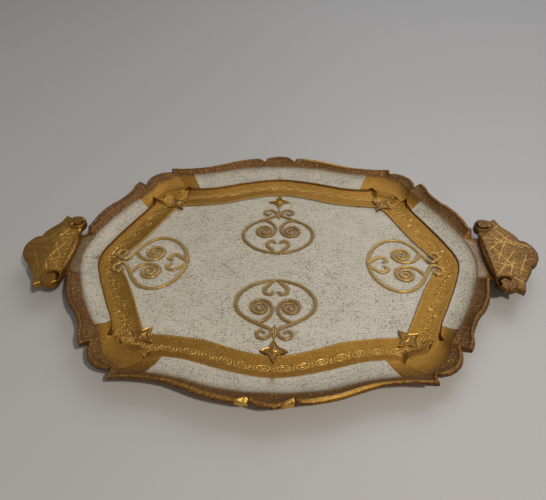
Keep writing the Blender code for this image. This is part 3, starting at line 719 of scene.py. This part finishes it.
RAILS = {
    "long": (slice(0, corner + 1), "rail_{side}_{end}"),
    "end": (slice(corner, sections), "rail_{end}_{side}"),
}
for kind, (run, label) in RAILS.items():
    xy = squared_off(squared_off(spots[run], 0), -1)
    rows = len(xy)
    for end, side_x in (("left", -1), ("right", 1)):
        _, heights, wear_and_shade_values, leafeds, stamps_and_highlights = grids[side_x]
        for side, side_y in (("front", -1), ("back", 1)):
            node = label.format(side=side, end=end)
            points = np.concatenate([xy * (side_x, side_y), heights[run][..., None]], axis=2).reshape(-1, 3)
            faces = ring_faces(rows, around)
            faces += [tuple(range(around)), tuple(range((rows - 1) * around, rows * around))]
            rail = new_piece(node + "_carved", points, faces, {
                "wear_and_shade": wear_and_shade_values[run].ravel(), "leafed": leafeds[run].ravel(), "border": borders[run].ravel(),
                "stamp_and_highlight": stamps_and_highlights[run].ravel()})
            uv = rail.data.uv_layers.new(name="course")
            lengthwise = np.broadcast_to(course[run][:, None], heights[run].shape)
            flat_uv = np.stack([lengthwise, across_rail[run]], axis=2)
            loops = np.empty(len(rail.data.loops), int)
            rail.data.loops.foreach_get("vertex_index", loops)
            uv.data.foreach_set("uv", (flat_uv.reshape(-1, 2)[loops] * MM).ravel())
            rough = rail.vertex_groups.new(name="hammered")
            on_rim = np.isclose(leafeds[run], 1.0) & (heights[run] > HAMMERED_ABOVE)
            weights = np.where(on_rim, 1.0, BAND_HAMMERING).ravel()
            for level in np.unique(weights):
                rough.add(np.flatnonzero(weights == level).tolist(), float(level), "REPLACE")
            rail.data.materials.append(rail_finish)
            rail.data.materials.append(limewood)
            is_bare = leafeds[run].ravel() < 0
            bare_faces = [int(is_bare[list(face)].all()) for face in faces]
            rail.data.polygons.foreach_set("material_index", bare_faces)
            beaten = rail.modifiers.new("hammered", "DISPLACE")
            beaten.texture = hammer
            beaten.texture_coords = "LOCAL"
            beaten.strength = 0.9 * MM
            beaten.mid_level = 0.5
            beaten.vertex_group = "hammered"
            bpy.context.view_layer.objects.active = rail
            bpy.ops.object.modifier_apply(modifier="hammered")
            finish_piece(rail, "painted_rail", node)

# --- Tongues, dowels and pins ------------------------------------------------------------------
# Loose beech tongues cross the rails' joints, dowels stand between ledge and handle, and steel
# pins in the rebate hold the panel up. They are hidden in the made-up tray.

beech, tree, surface = material_of("bare_beech")
coords = put(tree, "TexCoord").outputs["Object"]
grain_place = put(tree, "VectorMath", {0: coords, 1: (60.0, 60.0, 700.0)}, operation="MULTIPLY")
grain = put(tree, "TexNoise", {"Vector": grain_place.outputs[0], "Scale": 1.0, "Detail": 4.0})
colour = put(tree, "Mix", {0: grain.outputs[0], 6: linear("#A97C4F"), 7: linear("#CDA476")}, data_type="RGBA")
tree.links.new(colour.outputs[2], surface.inputs["Base Color"])
surface.inputs["Roughness"].default_value = 0.6

steel, tree, surface = material_of("drawn_steel")
coords = put(tree, "TexCoord").outputs["Object"]
drawn = put(tree, "TexNoise", {"Vector": coords, "Scale": 1000 / 0.6, "Detail": 2.0})
dull = put(tree, "MapRange", {0: drawn.outputs[0], 3: 0.28, 4: 0.5})
tree.links.new(dull.outputs[0], surface.inputs["Roughness"])
surface.inputs["Base Color"].default_value = linear("#9C9A96")
surface.inputs["Metallic"].default_value = 1.0

for name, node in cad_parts.items():
    if name.startswith(("tongue", "dowel", "pin")):
        finish = steel if name.startswith("pin") else beech
        if node.data.materials:
            node.data.materials[0] = finish
        else:
            node.data.materials.append(finish)

# --- Handles -----------------------------------------------------------------------------------
# Each handle is one carved lug, dowelled onto the frame's ledge and gilded in one with it. It has
# a scalloped edge, a raised border at its root, a rolled volute at each side and engraved leaves.

HANDLE_LOBES = (
    ((290, 0), (289, 7), (286, 14), (282, 19), (276, 21.5)),
    ((276, 21.5), (275.5, 27), (270, 36), (263, 46), (258.5, 60)),
    ((258.5, 60), (251, 55)),
    ((251, 55), (246, 57.5), (238, 56.5), (232.8, 51), (232, 44), (235, 37)),
    ((235, 37), (232.5, 24), (231, 0)),
)
HANDLE_BASE = 20.3
HANDLE_FACE = 28.6
VOLUTE_CENTRE = np.array((241.5, 47.5))
ROOT_START = 231.0
ROOT_END = 236.0
RAMP_PLACES = (230.0, 237.0, 256.0)
RAMP_HEIGHTS = (0.0, 0.45, 1.0)
DISC_RADIUS = 5.4
HOLLOW_RADIUS = 7.0
HOLLOW_DEPTH = 5.5
# The right handle is darker all over: painted shade.
HANDLE_WEAR_AND_SHADE = {"left": 0.32, "right": 0.64}

# Leaf over bole on carved gesso, toned down with umber: matt brown gold with bright cut lines.
# The umber darkening also lays painted shade on the handles' sides, undersides and on the right handle.
gilt_finish, tree, surface = material_of("toned_gold_leaf")
coords = put(tree, "TexCoord").outputs["Object"]
wear_and_shade = put(tree, "Attribute", attribute_name="wear_and_shade").outputs["Fac"]
lines_and_highlights = put(tree, "Attribute", attribute_name="stamp_and_highlight").outputs["Fac"]
colour, metal, dull, creases = gilded_wood(tree, coords, wear_and_shade, lines_and_highlights)
bump = put(tree, "Bump", {"Height": creases, "Strength": 0.5, "Distance": 0.0004})
tree.links.new(colour, surface.inputs["Base Color"])
tree.links.new(metal, surface.inputs["Metallic"])
tree.links.new(dull, surface.inputs["Roughness"])
tree.links.new(bump.outputs[0], surface.inputs["Normal"])

lobes = []
for lobe in HANDLE_LOBES:
    curve = dense_curve(lobe)[0]
    count = max(2, round(np.linalg.norm(np.diff(curve, axis=0), axis=1).sum() / 1.2))
    lobes.append(spaced(curve, count)[1 if lobes else 0:])
half = np.concatenate(lobes)
lug_outline = np.concatenate([half, (half * (1, -1))[::-1][1:-1]])

# Engraved leaf veins and cross cuts, as lines from one point to another.
ENGRAVED = (
    ((240, 30), (276, 8)), ((241, 20), (282, 12)), ((240, 8), (268, 30)), ((242, -2), (284, 2)),
    ((248, 34), (260, 8)), ((254, 38), (268, 12)), ((241, -12), (268, -30)), ((244, -24), (280, -10)),
    ((241, -30), (264, 2)), ((250, -36), (260, -12)), ((260, -34), (276, -4)), ((252, 40), (262, 50)),
    ((252, -40), (262, -50)), ((262, 22), (284, 8)), ((246, -8), (262, 24)), ((244, 14), (256, -20)),
)


def near_line(xy, a, b):
    a, b = np.array(a, float), np.array(b, float)
    part = np.clip(((xy - a) @ (b - a)) / ((b - a) @ (b - a)), 0, 1)
    return np.linalg.norm(xy - a - part[:, None] * (b - a), axis=1)


def lug_relief(xy):
    """Height of the carving over the handle's face, and how deep and how cut each spot is."""
    height = 0.9 * bell(near_line(xy, (236.6, -30), (236.6, 30)), 1.0)
    root = smooth(ROOT_START, ROOT_END, xy[:, 0])
    ramp = 1 - np.interp(xy[:, 0], RAMP_PLACES, RAMP_HEIGHTS)
    height -= (HANDLE_FACE - HANDLE_BASE - 0.4) * ramp * smooth(42.0, 33.0, np.abs(xy[:, 1]))
    hollow = np.zeros(len(xy))
    cuts = np.zeros(len(xy))
    for a, b in ENGRAVED:
        cuts = np.maximum(cuts, bell(near_line(xy, a, b), 0.6))
    rising = bell(np.sin(1.3 * (xy[:, 0] + 0.7 * xy[:, 1])), 0.25)
    falling = bell(np.sin(1.2 * (xy[:, 0] - 0.8 * xy[:, 1])), 0.25)
    hatch = np.maximum(rising, falling)
    cuts = np.maximum(cuts, 0.55 * hatch * smooth(276.0, 262.0, xy[:, 0])) * root
    for side in (1, -1):
        away = (xy - VOLUTE_CENTRE * (1, side)) * (1, side)
        radius = np.hypot(*away.T)
        inwards = smooth(-0.15, 0.35, -(away @ (0.55, 0.83)) / np.maximum(radius, 0.1))
        groove = smooth(1.9, 0.9, np.abs(radius - HOLLOW_RADIUS)) * inwards
        around = smooth(DISC_RADIUS + 6.5, DISC_RADIUS + 5.0, radius)
        height = height * (1 - around) + around * (0.7 + 0.3 * bell(radius, 3.5))
        hollow = np.maximum(hollow, groove)
        cuts = cuts * smooth(DISC_RADIUS + 5.0, DISC_RADIUS + 7.0, radius)
    return height - HOLLOW_DEPTH * hollow - 0.45 * cuts, hollow, cuts


for end, side_x in (("left", -1), ("right", 1)):
    base = [(x, y, HANDLE_BASE) for x, y in lug_outline]
    faces = [tuple(range(len(base)))]
    lug = new_piece(f"handle_{end}_carved", base, faces)
    bpy.ops.object.select_all(action="DESELECT")
    lug.select_set(True)
    bpy.context.view_layer.objects.active = lug
    bpy.ops.object.mode_set(mode="EDIT")
    bpy.ops.mesh.select_all(action="SELECT")
    thickness = (HANDLE_FACE - HANDLE_BASE) * MM
    bpy.ops.mesh.extrude_region_move(TRANSFORM_OT_translate={"value": (0, 0, thickness)})
    bpy.ops.mesh.bevel(offset=1.6 * MM, segments=4, affect="EDGES")
    bpy.ops.mesh.select_all(action="SELECT")
    bpy.ops.mesh.normals_make_consistent(inside=False)
    bpy.ops.object.mode_set(mode="OBJECT")
    block = lug.modifiers.new("block", "REMESH")
    block.mode = "VOXEL"
    block.voxel_size = 0.75 * MM
    bpy.ops.object.modifier_apply(modifier="block")
    soften = lug.modifiers.new("soften", "SMOOTH")
    soften.iterations = 3
    bpy.ops.object.modifier_apply(modifier="soften")
    co = np.array([v.co for v in lug.data.vertices]) / MM
    facing = np.array([v.normal.z for v in lug.data.vertices])
    carving, hollow, cuts = lug_relief(co[:, :2])
    on_top = smooth(0.2, 0.8, facing)
    co[:, 2] += carving * on_top
    co[:, 0] *= side_x
    lug.data.vertices.foreach_set("co", (co * MM).ravel())
    # Darker in the volutes' grooves and, as painted shade, on faces turned sideways or down.
    wear_and_shade = np.clip(HANDLE_WEAR_AND_SHADE[end] + 0.7 * hollow * on_top + 0.35 * smooth(0.4, -0.4, facing), 0, 1)
    lug.data.attributes.new("wear_and_shade", "FLOAT", "POINT").data.foreach_set("value", wear_and_shade.astype(np.float32))
    bright_cuts = (0.75 * cuts).astype(np.float32)
    lug.data.attributes.new("stamp_and_highlight", "FLOAT", "POINT").data.foreach_set("value", bright_cuts)
    lug.data.materials.append(gilt_finish)
    beaten = lug.modifiers.new("hammered", "DISPLACE")
    beaten.texture = hammer
    beaten.texture_coords = "LOCAL"
    beaten.strength = 0.6 * MM
    beaten.mid_level = 0.5
    bpy.ops.object.modifier_apply(modifier="hammered")
    finish_piece(lug, "gilt_gesso", f"handle_{end}")

# --- Scroll groups -----------------------------------------------------------------------------
# Piped gesso scrolls, laid on the panel as a bead with a furrow along it and gilded: a heart-shaped
# pair of arcs, a pair of spirals and two leaves in each group. The end groups lap up onto the band.

# Gilt lines rubbed back to cream gesso along their middle and flanks, then toned: pale straw gold
# on the ridges, brown glaze in between.
line_finish, tree, surface = material_of("rubbed_gilt_gesso")
coords = put(tree, "TexCoord").outputs["Object"]
wear_and_shade = put(tree, "Attribute", attribute_name="wear_and_shade").outputs["Fac"]
patchy = put(tree, "TexNoise", {"Vector": coords, "Scale": 1000 / 2.0, "Detail": 3.0, "Roughness": 0.6})
worn_and_shaded = put(tree, "Math", {0: patchy.outputs[0], 1: 0.9, 2: wear_and_shade}, operation="MULTIPLY_ADD")
darkness = put(tree, "MapRange", {0: worn_and_shaded.outputs[0], 1: 0.55, 2: 1.15})
colour = put(tree, "Mix", {0: darkness.outputs[0], 6: linear("#CDA75C"), 7: linear("#6E4F27")}, data_type="RGBA")
metal = put(tree, "MapRange", {0: darkness.outputs[0], 3: 0.75, 4: 0.1})
bump = put(tree, "Bump", {"Height": patchy.outputs[0], "Strength": 0.5, "Distance": 0.0003})
tree.links.new(colour.outputs[2], surface.inputs["Base Color"])
tree.links.new(metal.outputs[0], surface.inputs["Metallic"])
tree.links.new(bump.outputs[0], surface.inputs["Normal"])
surface.inputs["Roughness"].default_value = 0.34

RELIEF = 1.5
SCROLL_LIFT = 2.3
LIFT_START = 27.0
LIFT_LENGTH = 5.0
GROUP_AGE = 0.05
STEMMED_GROUP_AGE = 0.30
RIBBON_WIDTHS = {"arc": 3.6, "leaf": 4.6, "spiral": 3.4, "stem": 5.0}
STEM = np.array(((24.0, 0.0), (34.0, 0.0), (43.5, 0.0)))
FURROWED_PROFILE = [(math.cos(a), math.sin(a) ** 0.8 * (1 - 0.45 * bell(math.cos(a), 0.3)))
                    for a in np.linspace(math.pi, 0, 13)]


def ribbon(path, width, base, lift):
    """Points of a furrowed bead along a path, with its ends rounded off."""
    count = len(path)
    ahead = np.gradient(path, axis=0)
    normal = np.stack([-ahead[:, 1], ahead[:, 0]], axis=1)
    normal /= np.linalg.norm(normal, axis=1)[:, None]
    lengths = np.concatenate([[0], np.cumsum(np.linalg.norm(np.diff(path, axis=0), axis=1))])
    to_end = np.minimum(lengths, lengths[-1] - lengths)
    taper = 0.25 + 0.75 * smooth(0, 3.5, to_end) * (0.8 + 0.2 * smooth(0, 22, to_end))
    points = np.empty((count, len(FURROWED_PROFILE), 3))
    for k, (sideways, rise_part) in enumerate(FURROWED_PROFILE):
        points[:, k, :2] = path + normal * (sideways * width / 2 * taper)[:, None]
        points[:, k, 2] = base + lift + rise_part * RELIEF * (0.45 + 0.55 * taper)
    points[:, 0, 2] = points[:, -1, 2] = base + lift
    return points.reshape(-1, 3)


for name, reach, direction, stemmed in SCROLL_GROUPS:
    all_points, all_faces, all_ages = [], [], []
    ribbons = [(kind, path, side) for kind, path in scroll_paths() for side in (1, -1)]
    if stemmed:
        ribbons.append(("stem", STEM, 1))
    for order, (kind, path, side) in enumerate(ribbons):
        length = np.linalg.norm(np.diff(path, axis=0), axis=1).sum()
        path = spaced(path, max(8, round(length / 0.8)))
        lift = (0.0 if stemmed else SCROLL_LIFT) * np.clip((path[:, 0] - LIFT_START) / LIFT_LENGTH, 0, 1)
        laid = on_tray(path, reach, direction, side)
        width = RIBBON_WIDTHS[kind]
        points = ribbon(laid, width, PANEL_TOP + 0.02 * order, lift)
        start = sum(len(p) for p in all_points)
        around = len(FURROWED_PROFILE)
        strips = ring_faces(len(laid), around)
        strips += [tuple(range(around)), tuple(range((len(laid) - 1) * around, len(laid) * around))]
        all_faces += [tuple(start + i for i in face) for face in strips]
        all_points.append(points)
        sideways = np.array([sideways for sideways, _ in FURROWED_PROFILE])
        darkness = STEMMED_GROUP_AGE if stemmed else GROUP_AGE
        across_age = darkness + 0.5 * np.abs(sideways) ** 3 + 0.45 * bell(sideways, 0.25)
        all_ages.append(np.tile(across_age, len(laid)))
    wear_and_shade_values = np.concatenate(all_ages)
    group = new_piece(f"scroll_{name}_piped", np.concatenate(all_points), all_faces, {"wear_and_shade": wear_and_shade_values})
    group.data.materials.append(line_finish)
    finish_piece(group, "gilt_gesso", f"scroll_{name}", smooth=60.0)

# --- Fleurs and stars --------------------------------------------------------------------------
# Pressed gesso ornaments, glued on: a four-pointed fleur on the band in front, one on the panel
# behind, and a star on the band at each corner. Each has a raised edge, a sunk field and a boss.

# A star's rings from its edge to its middle: scale, height over its base, age and shine.
STAR_RINGS = (
    (1.0, 0.7, 0.6, 0.15), (0.975, 1.25, 0.2, 0.5), (0.92, 1.4, 0.1, 0.7), (0.86, 1.1, 0.4, 0.4),
    (0.79, 0.65, 0.7, 0.1), (0.6, 0.7, 0.62, 0.15), (0.45, 0.8, 0.5, 0.2), (0.34, 1.1, 0.4, 0.25),
    (0.24, 1.6, 0.2, 0.4), (0.12, 1.9, 0.1, 0.6), (0.02, 2.0, 0.1, 0.6),
)
STAR_SIDES = 96


def star_piece(name, centre, reach, waist, turn, base):
    """A star with pointed tips and hollow sides. Its skirt goes down to the panel."""
    count = STAR_SIDES
    angles = np.linspace(0, 2 * math.pi, count, endpoint=False)
    to_tip = 1 - np.abs((angles / (math.pi / 2) + 0.5) % 1 - 0.5) * 2
    rim = waist + (reach - waist) * to_tip ** 2.2
    points = []
    skirt = (1.0, PANEL_TOP + 0.05 - base, 0.85, 0)
    for scale, height, _, _ in (skirt, *STAR_RINGS):
        x = centre[0] + rim * scale * np.cos(angles + turn)
        y = centre[1] + rim * scale * np.sin(angles + turn)
        points.append(np.stack([x, y, np.full(count, base + height)], axis=1))
    rings = 1 + len(STAR_RINGS)
    faces = ring_faces(rings, count)
    faces += [tuple(range(count)), tuple(range((rings - 1) * count, rings * count))]
    sunk = np.repeat([ring[2] for ring in (skirt, *STAR_RINGS)], count)
    shine = np.repeat([ring[3] for ring in (skirt, *STAR_RINGS)], count)
    star = new_piece(name + "_pressed", np.concatenate(points), faces, {"wear_and_shade": sunk, "stamp_and_highlight": shine})
    star.data.materials.append(gilt_finish)
    finish_piece(star, "gilt_gesso", name, smooth=50.0)


STAR_BASE = BAND_MIDDLE_TOP + 0.3
STAR_TURN = math.radians(55)
FLEUR_REACH = 14.0
FLEUR_WAIST = 7.0
STAR_REACH = 14.5
STAR_WAIST = 7.2
star_piece("fleur_front", (0, -127.0), FLEUR_REACH, FLEUR_WAIST, 0.0, STAR_BASE)
star_piece("fleur_back", (0, 117.0), FLEUR_REACH, FLEUR_WAIST, 0.0, PANEL_TOP + 0.2)
for side, side_y in (("front", -1), ("back", 1)):
    for end, side_x in (("left", -1), ("right", 1)):
        star_piece(f"star_{side}_{end}", (133.0 * side_x, 110.5 * side_y), STAR_REACH, STAR_WAIST,
                   STAR_TURN * side_x * side_y, STAR_BASE)
